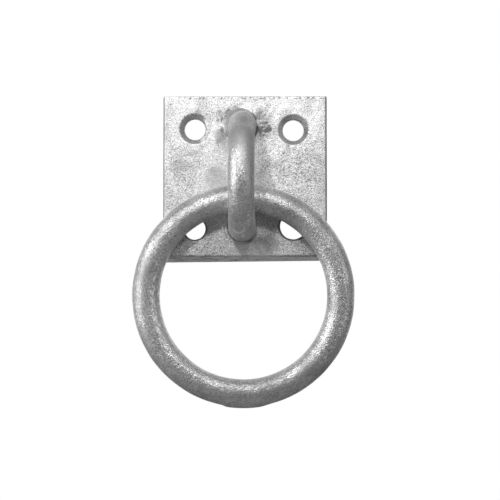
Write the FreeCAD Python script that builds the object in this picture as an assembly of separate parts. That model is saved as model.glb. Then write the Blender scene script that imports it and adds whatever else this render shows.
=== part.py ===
import FreeCAD, Part
import math
import os

# Ring on plate: a ring hanging in a staple that is fixed to a square plate with four screw holes.
# Millimetres. +Z is up the wall, -Y is out of the wall and +X is to the right as it is looked at.
# The origin is the middle of the four screw holes, on the plate's back face.

# Plate, cut from flat bar by a shear, so both cut ends lean the same way
PLATE_WIDTH = 50.0
PLATE_HEIGHT = 48.7
PLATE_THICKNESS = 4.0
PLATE_RAISED = 1.05
PLATE_OFF_MIDDLE = 0.35
SHEAR_LEAN = 1.8
BOTTOM_CUT_TURN = 0.55
SIDE_EDGE_ROUND = 0.5
CUT_EDGE_ROUND = 0.25

# Screw holes, a set way in from the plate's edges and countersunk from the front
HOLE_MARGIN_X = 10.0
HOLE_MARGIN_Z = 9.1
HOLE_DIAMETER = 6.5
SINK_DIAMETER = 9.4
SINK_HALF_ANGLE = 45.0

# Staple, a round bar bent to a half circle with two straight legs, level with the rows of holes
STAPLE_BAR = 8.1
STAPLE_LEG_SPREAD = 0.3
STAPLE_LEG_FREE = 4.0
STAPLE_X = -0.43
STAPLE_MIDDLE_Z = 0.6

# Lower foot: the zinc runs out a little round the leg, and its hole has a broken edge
FOOT_SWELL = 0.25
FOOT_SWELL_REACH = 3.0
FOOT_HOLE_BREAK = 0.5

# Weld bead round the upper foot, on the front
WELD_RADIUS = 5.4
WELD_HEIGHT = 2.0
WELD_CROWN = 0.9
WELD_CROWN_RADIUS = 4.7
WELD_SHIFT_X = -0.75

# Weld of the lower foot, in a sunk edge on the back and flush with it
BACK_WELD_LEG = 1.4

# Ring, a round bar bent to a circle and joined at its lowest point
RING_INSIDE = 50.4
RING_BAR = 8.3
RING_X = -0.07
RING_GAP_TO_PLATE = 0.3
RING_GAP_TO_LEG = 0.4

# Butt joint at the ring's lowest point, a barrel that stands out on the ring's outer side only
JOINT_LENGTH = 16.0
JOINT_FLAT = 5.0
JOINT_SWELL = 0.1
JOINT_OUTWARD = 0.25
JOINT_TAPER = 0.7

# Both bars are bent in short even steps, fine enough to stay within 0.06 mm of the true bend
RING_STEP = 6.0
STAPLE_STEP = 9.0

HOLE_SPACING_X = PLATE_WIDTH - 2 * HOLE_MARGIN_X
HOLE_SPACING_Z = PLATE_HEIGHT - 2 * HOLE_MARGIN_Z
PLATE_TOP = PLATE_HEIGHT / 2 + PLATE_RAISED
STAPLE_RADIUS = STAPLE_BAR / 2
BEND_RADIUS = (HOLE_SPACING_Z + STAPLE_LEG_SPREAD) / 2
UPPER_LEG_Z = STAPLE_MIDDLE_Z + BEND_RADIUS
LOWER_LEG_Z = STAPLE_MIDDLE_Z - BEND_RADIUS
BEND_Y = -PLATE_THICKNESS - STAPLE_LEG_FREE
RING_BAR_RADIUS = RING_BAR / 2
RING_MEAN_RADIUS = RING_INSIDE / 2 + RING_BAR_RADIUS
RING_Y = -PLATE_THICKNESS - RING_GAP_TO_PLATE - RING_BAR_RADIUS
RING_Z = LOWER_LEG_Z + STAPLE_RADIUS + RING_GAP_TO_LEG - RING_INSIDE / 2
FRONT_Y = -PLATE_THICKNESS

OUT = FreeCAD.Vector(0, -1, 0)
ACROSS = FreeCAD.Vector(1, 0, 0)
RIGHT_CORNERS = 1


def plate_blank():
    """Flat bar with both ends cut on the shear's lean, the lower one also slightly out of square."""
    left = PLATE_OFF_MIDDLE - PLATE_WIDTH / 2
    right = PLATE_OFF_MIDDLE + PLATE_WIDTH / 2
    low = PLATE_TOP - PLATE_HEIGHT
    turn = BOTTOM_CUT_TURN / 2
    corners = [
        FreeCAD.Vector(left, FRONT_Y, PLATE_TOP),
        FreeCAD.Vector(right, FRONT_Y, PLATE_TOP),
        FreeCAD.Vector(right, FRONT_Y, low + turn),
        FreeCAD.Vector(left, FRONT_Y, low - turn),
    ]
    front = Part.Face(Part.makePolygon(corners + corners[:1]))
    blank = front.extrude(FreeCAD.Vector(0, PLATE_THICKNESS, -SHEAR_LEAN))
    return round_plate_edges(blank, left, right)


def round_plate_edges(blank, left, right):
    """Rounds the bar's two long front edges, then breaks the two cut front edges."""
    sides = []
    for edge in blank.Edges:
        middle = edge.BoundBox.Center
        on_side = min(abs(middle.x - left), abs(middle.x - right)) < 0.01
        if on_side and abs(middle.y - FRONT_Y) < 0.01:
            sides.append(edge)
    blank = blank.makeFillet(SIDE_EDGE_ROUND, sides)
    cuts = []
    for edge in blank.Edges:
        box = edge.BoundBox
        in_front = abs(box.YMin - FRONT_Y) < 0.01 and box.YLength < 0.01
        if in_front and box.XLength > PLATE_WIDTH / 2:
            cuts.append(edge)
    return blank.makeFillet(CUT_EDGE_ROUND, cuts)


def screw_hole(x, z):
    """Tool for one screw hole: a straight bore and the countersink in front of it."""
    spare = 1.0
    bore_radius = HOLE_DIAMETER / 2
    sink_radius = SINK_DIAMETER / 2
    slope = math.tan(math.radians(SINK_HALF_ANGLE))
    sink_depth = (sink_radius - bore_radius) / slope
    bore = Part.makeCylinder(bore_radius, PLATE_THICKNESS + 2 * spare, FreeCAD.Vector(x, spare, z), OUT)
    start = FreeCAD.Vector(x, FRONT_Y + sink_depth, z)
    sink = Part.makeCone(bore_radius, sink_radius + spare * slope, sink_depth + spare, start, OUT)
    return bore.fuse(sink)


def leg_hole(z):
    """Tool for the hole that a staple leg goes through."""
    spare = 1.0
    start = FreeCAD.Vector(STAPLE_X, spare, z)
    return Part.makeCylinder(STAPLE_RADIUS, PLATE_THICKNESS + 2 * spare, start, OUT)


def foot_hole_edge():
    """Tool for the broken edge of the lower leg's hole, wider than the leg's swollen foot."""
    foot_radius = STAPLE_RADIUS + FOOT_SWELL
    start = FreeCAD.Vector(STAPLE_X, FRONT_Y + FOOT_HOLE_BREAK, LOWER_LEG_Z)
    return Part.makeCone(STAPLE_RADIUS, foot_radius + FOOT_HOLE_BREAK, FOOT_HOLE_BREAK, start, OUT)


def back_weld_sink():
    """Cone that the lower foot's back weld fills, from the plate's back face inwards."""
    start = FreeCAD.Vector(STAPLE_X, 0, LOWER_LEG_Z)
    return Part.makeCone(STAPLE_RADIUS + BACK_WELD_LEG, STAPLE_RADIUS, BACK_WELD_LEG, start, OUT)


def make_plate():
    """The plate with its four screw holes and the two holes of the staple's legs."""
    plate = plate_blank()
    for side in (-1, 1):
        for level in (-1, 1):
            hole = screw_hole(side * HOLE_SPACING_X / 2, level * HOLE_SPACING_Z / 2)
            plate = plate.cut(hole)
    for z in (UPPER_LEG_Z, LOWER_LEG_Z):
        plate = plate.cut(leg_hole(z))
    return plate.cut(foot_hole_edge()).cut(back_weld_sink())


def bend_points(middle, radius, first, last, step):
    """Corners of short straight runs that touch a circle facing sideways, from angle to angle.

    Angles run from straight up towards the front, and each run touches the circle at its middle.
    """
    corner_radius = radius / math.cos(math.radians(step / 2))
    count = round((last - first) / step)
    points = []
    for index in range(count):
        turn = math.radians(first + (index + 0.5) * step)
        away = FreeCAD.Vector(0, -math.sin(turn), math.cos(turn))
        points.append(middle + away * corner_radius)
    return points


def make_staple():
    """The staple: legs through the plate, flush with its back, and a half-circle bend in front."""
    middle = FreeCAD.Vector(STAPLE_X, BEND_Y, STAPLE_MIDDLE_Z)
    upper_end = FreeCAD.Vector(STAPLE_X, 0, UPPER_LEG_Z)
    lower_end = FreeCAD.Vector(STAPLE_X, 0, LOWER_LEG_Z)
    bend = bend_points(middle, BEND_RADIUS, 0, 180, STAPLE_STEP)
    path = Part.makePolygon([upper_end] + bend + [lower_end])
    section = Part.Wire(Part.makeCircle(STAPLE_RADIUS, upper_end, OUT))
    bar = path.makePipeShell([section], True, False, RIGHT_CORNERS)
    foot_start = FreeCAD.Vector(STAPLE_X, FRONT_Y, LOWER_LEG_Z)
    foot = Part.makeCone(STAPLE_RADIUS + FOOT_SWELL, STAPLE_RADIUS, FOOT_SWELL_REACH, foot_start, OUT)
    return bar.fuse(foot)


def make_upper_weld(staple):
    """The weld bead round the upper foot, set off to the left, with the leg going through it."""
    start = FreeCAD.Vector(STAPLE_X + WELD_SHIFT_X, FRONT_Y, UPPER_LEG_Z)
    side = Part.makeCylinder(WELD_RADIUS, WELD_HEIGHT - WELD_CROWN, start, OUT)
    crown_start = start + OUT * (WELD_HEIGHT - WELD_CROWN)
    crown = Part.makeCone(WELD_RADIUS, WELD_CROWN_RADIUS, WELD_CROWN, crown_start, OUT)
    return side.fuse(crown).cut(staple)


def make_lower_weld(staple):
    """The flush weld that holds the lower foot at the back of the plate."""
    return back_weld_sink().cut(staple)


def ring_joint(middle):
    """The butt joint: a straight barrel along the bar's lowest stretch, fading into it at both ends."""
    low = middle - FreeCAD.Vector(0, 0, RING_MEAN_RADIUS + JOINT_OUTWARD)
    fat_radius = RING_BAR_RADIUS + JOINT_SWELL
    end_radius = fat_radius - JOINT_TAPER
    taper_length = (JOINT_LENGTH - JOINT_FLAT) / 2
    flat_left = low - ACROSS * (JOINT_FLAT / 2)
    flat_right = low + ACROSS * (JOINT_FLAT / 2)
    flat = Part.makeCylinder(fat_radius, JOINT_FLAT, flat_left, ACROSS)
    left = Part.makeCone(fat_radius, end_radius, taper_length, flat_left, -ACROSS)
    right = Part.makeCone(fat_radius, end_radius, taper_length, flat_right, ACROSS)
    return flat.fuse([left, right])


def make_ring():
    """The ring: a bar bent to a closed circle, and the joint at its lowest point."""
    middle = FreeCAD.Vector(RING_X, RING_Y, RING_Z)
    count = round(360 / RING_STEP)
    corner_radius = RING_MEAN_RADIUS / math.cos(math.radians(RING_STEP / 2))
    corners = []
    for index in range(count):
        turn = math.radians((index + 0.5) * RING_STEP)
        corners.append(middle + FreeCAD.Vector(math.sin(turn), 0, math.cos(turn)) * corner_radius)
    path = Part.makePolygon(corners + corners[:1])
    section = Part.Wire(Part.makeCircle(RING_BAR_RADIUS, corners[0], corners[1] - corners[0]))
    bar = path.makePipeShell([section], True, False, RIGHT_CORNERS)
    return bar.fuse(ring_joint(middle))


def main():
    """Builds the sub-parts and writes one STEP file for each."""
    os.makedirs("parts", exist_ok=True)
    staple = make_staple()
    pieces = {
        "plate": make_plate(),
        "staple": staple,
        "upper_foot_weld": make_upper_weld(staple),
        "lower_foot_weld": make_lower_weld(staple),
        "ring": make_ring(),
    }
    for name, shape in pieces.items():
        solid = shape.Solids[0]
        print(name, len(shape.Solids), shape.isValid(), round(solid.Volume, 1), shape.BoundBox)
        solid.exportStep(os.path.join("parts", name + ".step"))


main()
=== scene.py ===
"""Visual model of a hot-dip galvanised ring on plate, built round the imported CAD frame.

The part is shown as it is used, screwed to a wall with its ring hanging: +Z is up the wall, -Y is
out of the wall and +X is to the right as it is looked at. The origin is the middle of the four
screw holes on the plate's back. Sizes in the classes are millimetres, and Blender gets metres.
"""
import logging
import math
from collections.abc import Callable, Iterator
from contextlib import contextmanager
from dataclasses import dataclass
from enum import Enum
from typing import ClassVar

import bmesh
import bpy
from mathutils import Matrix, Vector, noise


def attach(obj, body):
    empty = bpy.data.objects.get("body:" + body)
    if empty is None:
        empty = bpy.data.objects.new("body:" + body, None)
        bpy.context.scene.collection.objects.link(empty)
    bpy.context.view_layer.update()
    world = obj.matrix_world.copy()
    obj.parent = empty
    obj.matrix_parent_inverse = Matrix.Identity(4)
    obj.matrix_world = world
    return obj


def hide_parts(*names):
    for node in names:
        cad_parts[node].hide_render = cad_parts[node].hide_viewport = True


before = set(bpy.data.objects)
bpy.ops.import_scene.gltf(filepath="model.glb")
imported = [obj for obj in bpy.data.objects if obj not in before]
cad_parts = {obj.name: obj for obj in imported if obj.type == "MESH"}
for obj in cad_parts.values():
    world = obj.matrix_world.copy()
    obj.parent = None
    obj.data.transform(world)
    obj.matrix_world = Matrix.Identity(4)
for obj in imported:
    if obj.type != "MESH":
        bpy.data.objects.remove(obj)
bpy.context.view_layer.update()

# One millimetre in Blender's metres, and the turn that lays a flat primitive against the wall
MM = 0.001
FACING_OUT = (math.pi / 2, 0.0, 0.0)

# Points nearer than MERGE are one, and places nearer than NEAR count as the same, in millimetres
MERGE = 0.001
NEAR = 0.01
DISC_CORNERS = 64

# Name of the painted attribute that the finishes read, which carries the coat's state with
# painted shade and painted highlights, and the name that the reports go under
COAT_AND_PAINTED_LIGHT = "zinc_coat_and_painted_light"
LOG = logging.getLogger("ring_on_plate")

Piece = bpy.types.Object
Tree = bpy.types.NodeTree
Socket = bpy.types.NodeSocket
Rule = Callable[[Vector], float]
Test = Callable[[Vector], bool]


class Part(Enum):
    """What an edit-mode selection is made of."""

    VERTICES = "VERT"
    EDGES = "EDGE"


@dataclass(frozen=True)
class Lumps:
    """Unevenness of the zinc coat that is large enough to be shape.

    Args:
        size: Width of one lump.
        height: From the lowest hollow to the highest lump.
    """

    size: float
    height: float


@dataclass(frozen=True)
class Mark:
    """One spot of the coat that stands up or is sunk, as seen from the front.

    Args:
        x: Place across.
        z: Place up.
        reach: Radius at which the mark has faded out.
        share: Part of the full height or depth, from 0 to 1.
    """

    x: float
    z: float
    reach: float
    share: float = 1.0


def fade(value: float, start: float, end: float) -> float:
    """Goes smoothly from 0 at start to 1 at end, whichever of them is larger."""
    part = max(0.0, min(1.0, (value - start) / (end - start)))
    return part * part * (3.0 - 2.0 * part)


def drawn_noise(
    place: Vector, across: float, pattern: float, deep: float = 0.0, shift: float = 0.0
) -> float:
    """Noise from -1 to 1 that is drawn out across the plate and along its thickness.

    Args:
        place: A place in millimetres.
        across: How fast it changes across, in lumps per millimetre.
        pattern: Picks one pattern out of many.
        deep: How fast it changes along the thickness.
        shift: How far the pattern is moved along the thickness, in lumps.

    Returns:
        The noise.
    """
    return noise.noise(Vector((across * place.x, deep * place.y + shift, pattern)))


@dataclass(frozen=True)
class Slope:
    """A smooth change from 0 to 1.

    Args:
        start: Where it leaves 0.
        end: Where it reaches 1, on either side of the start.
    """

    start: float
    end: float

    def at(self, value: float, base: float = 0.0) -> float:
        """How far the change has come at a value, with both ends counted from a base."""
        return fade(value, base + self.start, base + self.end)


@dataclass(frozen=True)
class Row:
    """Places of small lumps along a part of a circle that is seen from the front.

    Args:
        radius: Radius of the circle in millimetres.
        start: Degrees of the first place, counter-clockwise from the right.
        end: Degrees of the last place.
        count: Number of places.
        wander: How far the places stray to both sides of the circle.
        pace: How fast they stray from one place to the next, in radians.
    """

    radius: float
    start: float
    end: float
    count: int
    wander: float
    pace: float

    def places(self, x: float, z: float) -> Iterator[tuple[int, float, float]]:
        """Goes along the row.

        Args:
            x: Middle of the circle across.
            z: Middle of the circle up.

        Yields:
            Each place's number, and where it is across and up.
        """
        for number in range(self.count):
            turn = math.radians(self.start + (self.end - self.start) * number / (self.count - 1))
            reach = self.radius + self.wander * math.sin(self.pace * number)
            yield number, x + reach * math.cos(turn), z + reach * math.sin(turn)


def at_mm(x: float, y: float, z: float) -> Vector:
    """A place in the part's frame, from millimetres to metres."""
    return Vector((x, y, z)) * MM


def clear_selection() -> None:
    """Leaves edit mode and deselects every object."""
    active = bpy.context.view_layer.objects.active
    if active is not None and active.mode != "OBJECT":
        bpy.ops.object.mode_set(mode="OBJECT")
    bpy.ops.object.select_all(action="DESELECT")


def take(piece: Piece) -> None:
    """Makes one piece the only selected and the active one.

    Args:
        piece: The piece.
    """
    clear_selection()
    piece.select_set(True)
    bpy.context.view_layer.objects.active = piece


@contextmanager
def editing(piece: Piece) -> Iterator[None]:
    """Holds one piece in edit mode, with all of it selected at first.

    Args:
        piece: The piece.

    Yields:
        Nothing. The piece is back in object mode after the block.
    """
    take(piece)
    bpy.ops.object.mode_set(mode="EDIT")
    bpy.ops.mesh.select_all(action="SELECT")
    yield
    bpy.ops.object.mode_set(mode="OBJECT")


def pick(piece: Piece, part: Part, test: Test) -> None:
    """Selects the elements of a piece in edit mode whose place passes a test.

    Args:
        piece: The piece that is in edit mode.
        part: Which elements are selected.
        test: Gets an element's middle in millimetres.
    """
    bpy.ops.mesh.select_mode(type=part.value)
    bpy.ops.mesh.select_all(action="DESELECT")
    mesh = bmesh.from_edit_mesh(piece.data)
    for element in mesh.verts if part is Part.VERTICES else mesh.edges:
        corners = [element] if part is Part.VERTICES else list(element.verts)
        middle = sum((corner.co for corner in corners), Vector()) / len(corners)
        if test(middle / MM):
            element.select_set(True)
    mesh.select_flush_mode()
    bmesh.update_edit_mesh(piece.data)


def settle(name: str) -> Piece:
    """Names the primitive that was added last and puts its place into its mesh.

    Args:
        name: Name of the new piece.

    Returns:
        The piece, with its object at the origin.
    """
    piece = bpy.context.object
    piece.name = piece.data.name = name
    bpy.ops.object.transform_apply(location=True, rotation=True, scale=True)
    return piece


def place_disc(name: str, place: Vector, radius: float, corners: int = DISC_CORNERS) -> Piece:
    """Adds a filled disc that lies in the plane of the wall.

    Args:
        name: Name of the new object.
        place: Middle of the disc in millimetres.
        radius: Radius in millimetres.
        corners: Number of corners round the disc.

    Returns:
        The disc.
    """
    clear_selection()
    bpy.ops.mesh.primitive_circle_add(
        vertices=corners, radius=radius * MM, fill_type="NGON", location=place * MM, rotation=FACING_OUT
    )
    return settle(name)


def push_out(distance: float, steps: int = 1) -> None:
    """Extrudes the selected faces along Y, in equal steps.

    Args:
        distance: How far in all, in millimetres, negative for out of the wall.
        steps: Number of steps.
    """
    for _ in range(steps):
        move = {"value": (0.0, distance * MM / steps, 0.0)}
        bpy.ops.mesh.extrude_region_move(TRANSFORM_OT_translate=move)


def widen(scale: float, centre: Vector) -> None:
    """Scales what is selected in the plane of the wall, about a centre in millimetres."""
    bpy.ops.transform.resize(value=(scale, 1.0, scale), center_override=tuple(centre * MM))


def set_normals(piece: Piece) -> None:
    """Merges what lies together and turns every face outwards.

    Args:
        piece: The piece.
    """
    with editing(piece):
        bpy.ops.mesh.remove_doubles(threshold=MERGE * MM)
        bpy.ops.mesh.normals_make_consistent(inside=False)


def apply_modifier(piece: Piece, kind: str, **settings: object) -> None:
    """Adds a modifier to a piece with its settings and applies it at once.

    Args:
        piece: The piece that it works on.
        kind: Blender's name for the kind of modifier.
        settings: Values of the modifier's own settings.
    """
    take(piece)
    modifier = piece.modifiers.new(kind.lower(), kind)
    for setting, value in settings.items():
        setattr(modifier, setting, value)
    bpy.ops.object.modifier_apply(modifier=modifier.name)


def cut_away(piece: Piece, cutter: Piece) -> None:
    """Cuts one piece with another and throws the cutter away.

    Args:
        piece: The piece that is cut.
        cutter: The shape of what goes.
    """
    set_normals(cutter)
    apply_modifier(piece, "BOOLEAN", operation="DIFFERENCE", solver="EXACT", object=cutter)
    bpy.data.objects.remove(cutter)


def remesh(piece: Piece, grid: float, smoothings: int) -> None:
    """Gives a piece one even skin with softened edges, fine enough for the coat's lumps."""
    apply_modifier(piece, "REMESH", mode="VOXEL", voxel_size=grid * MM, use_smooth_shade=True)
    apply_modifier(piece, "SMOOTH", factor=0.5, iterations=smoothings)


def weigh(piece: Piece, name: str, rule: Rule) -> str:
    """Makes a vertex group whose weights follow a rule.

    Args:
        piece: The piece that gets it.
        name: Name of the group.
        rule: Weight at a place in millimetres.

    Returns:
        The name that the group has.
    """
    group = piece.vertex_groups.new(name=name)
    for vertex in piece.data.vertices:
        weight = rule(vertex.co / MM)
        if weight > 0.0:
            group.add([vertex.index], min(weight, 1.0), "REPLACE")
    return group.name


def swell(piece: Piece, rise: float, rule: Rule, direction: str = "NORMAL") -> None:
    """Moves the surface by up to a rise, which may be negative, as far as a rule says.

    Args:
        piece: The piece whose surface moves.
        rise: Largest move in millimetres.
        rule: Share of the rise at a place in millimetres.
        direction: Along the normals, or along an axis.
    """
    group = weigh(piece, "swell", rule)
    apply_modifier(
        piece, "DISPLACE", direction=direction, strength=rise * MM, mid_level=0.0, vertex_group=group
    )
    piece.vertex_groups.remove(piece.vertex_groups[group])


def roughen(piece: Piece, lumps: Lumps, rule: Rule | None = None) -> None:
    """Raises and sinks the surface with one size of lumps.

    Args:
        piece: The piece whose surface moves.
        lumps: Size and height of the lumps.
        rule: Share of the height at a place in millimetres, or None for all of it.
    """
    texture = bpy.data.textures.new("zinc lumps", "CLOUDS")
    texture.noise_scale = lumps.size * MM
    texture.noise_basis = "ORIGINAL_PERLIN"
    texture.noise_depth = 1
    group = weigh(piece, "lumps", rule) if rule else ""
    apply_modifier(
        piece,
        "DISPLACE",
        texture=texture,
        texture_coords="LOCAL",
        strength=lumps.height * MM,
        mid_level=0.5,
        vertex_group=group,
    )
    if group:
        piece.vertex_groups.remove(piece.vertex_groups[group])
    bpy.data.textures.remove(texture)


def strike(piece: Piece, height: float, marks: tuple[Mark, ...], depth: float) -> None:
    """Raises or sinks the marks of a piece, all in one go.

    Args:
        piece: The piece that bears the marks.
        height: Height of a full mark in millimetres, negative for a sunk one.
        marks: The marks, by their places as seen from the front.
        depth: Place along Y behind which the piece has no marks.
    """

    def share(place: Vector) -> float:
        """The strongest mark at a place.

        Args:
            place: A place in millimetres.

        Returns:
            Its share, or 0 where there is none.
        """
        if place.y > depth:
            return 0.0
        reached = (
            mark.share * fade(math.hypot(place.x - mark.x, place.z - mark.z), mark.reach, 0.0)
            for mark in marks
            if abs(place.x - mark.x) < mark.reach and abs(place.z - mark.z) < mark.reach
        )
        return max(reached, default=0.0)

    swell(piece, height, share)


def hand_over(piece: Piece, body: str, node: str, material: bpy.types.Material) -> None:
    """Dresses a finished piece and puts it on its CAD body in place of its node.

    Args:
        piece: The finished piece.
        body: The CAD body that it rides on.
        node: The CAD node that it stands for.
        material: Its finish.
    """
    piece.data.materials.clear()
    piece.data.materials.append(material)
    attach(piece, body)
    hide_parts(node)
    LOG.info("%s: %d faces", piece.name, len(piece.data.polygons))


def linear(hex_colour: str) -> tuple[float, float, float, float]:
    """Turns an sRGB hex colour into a linear one.

    Args:
        hex_colour: The colour as #RRGGBB.

    Returns:
        Red, green and blue, and 1 for solid.
    """
    channels = [int(hex_colour[start:start + 2], 16) / 255 for start in (1, 3, 5)]
    straight = [c / 12.92 if c <= 0.04045 else ((c + 0.055) / 1.055) ** 2.4 for c in channels]
    return (*straight, 1.0)


def feed(tree: Tree, node: bpy.types.Node, inputs: dict) -> None:
    """Sets a node's inputs.

    Args:
        tree: The node tree.
        node: The node.
        inputs: Fixed value of each input, or the output that feeds it, by the input's name or number.
    """
    for key, value in inputs.items():
        if isinstance(value, Socket):
            tree.links.new(value, node.inputs[key])
        else:
            node.inputs[key].default_value = value


def add_node(
    tree: Tree, kind: str, inputs: dict | None = None, output: str | int = 0, **settings: object
) -> Socket:
    """Adds a shader node with its settings and inputs.

    Args:
        tree: The node tree.
        kind: Blender's name for the kind of node, less the ShaderNode that it starts with.
        inputs: What the inputs get, as feed tells it.
        output: Name or number of the output that is wanted.
        settings: The node's own settings.

    Returns:
        The output that is wanted.
    """
    node = tree.nodes.new("ShaderNode" + kind)
    for setting, value in settings.items():
        setattr(node, setting, value)
    feed(tree, node, inputs or {})
    return node.outputs[output]


def new_material(name: str) -> tuple[bpy.types.Material, Tree, bpy.types.Node]:
    """Makes a material.

    Args:
        name: Its name.

    Returns:
        The material, its node tree and its shader.
    """
    material = bpy.data.materials.new(name)
    material.use_nodes = True
    tree = material.node_tree
    return material, tree, tree.nodes["Principled BSDF"]


@dataclass(frozen=True)
class Patch:
    """A place where the coat differs, or where shade or light is painted, as seen from the front.

    Args:
        x: Middle across, in millimetres.
        z: Middle up, in millimetres.
        reach_x: Half of its width.
        reach_z: Half of its height.
        strength: State of the coat in its middle, as paint tells it.
        turn: Degrees that its width is turned, counter-clockwise as seen from the front.
    """

    x: float
    z: float
    reach_x: float
    reach_z: float
    strength: float
    turn: float = 0.0
    rim: ClassVar[Slope] = Slope(1.25, 0.55)

    def share(self, place: Vector) -> float:
        """State of the coat that this patch gives to a place, with a soft rim.

        Args:
            place: A place in millimetres.

        Returns:
            State of the coat, as paint tells it.
        """
        across, up = place.x - self.x, place.z - self.z
        turn = math.radians(self.turn)
        along = across * math.cos(turn) + up * math.sin(turn)
        aside = up * math.cos(turn) - across * math.sin(turn)
        return self.strength * self.rim.at(math.hypot(along / self.reach_x, aside / self.reach_z))


@dataclass(frozen=True)
class Arc:
    """A thin curved line where the coat differs, or where a line of shade or light is painted, as seen from
    the front.

    Args:
        x: Middle of its circle across, in millimetres.
        z: Middle of its circle up, in millimetres.
        radius: Radius of its circle.
        reach: Half of its width.
        start: Degrees at which it starts, counter-clockwise from the right.
        end: Degrees at which it ends.
        strength: State of the coat on it, as paint tells it.
        beads: How many times a full turn of it swells and fades, 0 for an even line.
    """

    x: float
    z: float
    radius: float
    reach: float
    start: float
    end: float
    strength: float
    beads: float = 0.0
    core: ClassVar[float] = 0.3
    fading: ClassVar[float] = 15.0
    thinnest: ClassVar[float] = 0.1

    def share(self, place: Vector) -> float:
        """State of the coat that this line gives to a place, with soft rims and ends.

        Args:
            place: A place in millimetres.

        Returns:
            State of the coat, as paint tells it.
        """
        across, up = place.x - self.x, place.z - self.z
        line = fade(abs(math.hypot(across, up) - self.radius), self.reach, self.core * self.reach)
        turn = math.degrees(math.atan2(up, across)) % 360.0
        ends = fade(turn, self.start, self.start + self.fading) * fade(turn, self.end, self.end - self.fading)
        half = (1.0 - self.thinnest) / 2
        swelling = 1.0 - half + half * math.cos(math.radians(self.beads * turn))
        return self.strength * line * ends * swelling


@dataclass(frozen=True)
class Specks:
    """A place that is strewn with small specks where the coat differs, or with painted glints.

    Args:
        spread: Where the specks lie, with their state of the coat as its strength.
        size: Width of one speck in millimetres.
        level: Height of the noise above which a speck shows, lower for more specks.
    """

    spread: Patch
    size: float = 0.6
    level: float = 0.1
    edge: ClassVar[float] = 0.2

    def share(self, place: Vector) -> float:
        """State of the coat that the specks give to a place.

        Args:
            place: A place in millimetres.

        Returns:
            State of the coat, as paint tells it.
        """
        strength = self.spread.share(place)
        if strength == 0.0:
            return 0.0
        return strength * fade(noise.noise(place / self.size), self.level, self.level + self.edge)


# Marks of the coat, which also paint shade, shadows, highlights and glints onto it
StainsAndPaintedLight = tuple[Patch | Arc | Specks, ...]


def coat_state(place: Vector, stains_and_painted_light: StainsAndPaintedLight) -> float:
    """The thickest skin or painted shade that any mark gives to a place, less what the cleanest or most
    brightly painted one takes.
    """
    shares = (0.0, *(stain.share(place) for stain in stains_and_painted_light))
    return max(shares) + min(shares)


def paint(piece: Piece, rule: Rule) -> None:
    """Stores the state of the coat at each place of a piece, for its finish to read.

    At 0 the coat is bare. Up to 1 a smooth grey skin lies on it or shade is painted, and from 1 to 2
    the skin is burnt darker or deeper shade is painted. Down to -1 the zinc has gathered, smooth and
    bright, or a highlight or glint is painted.

    Args:
        piece: The piece, in its last shape.
        rule: State of the coat at a place in millimetres.
    """
    layer = piece.data.attributes.new(COAT_AND_PAINTED_LIGHT, "FLOAT", "POINT")
    states = [max(-1.0, min(2.0, rule(vertex.co / MM))) for vertex in piece.data.vertices]
    layer.data.foreach_set("value", states)


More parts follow.
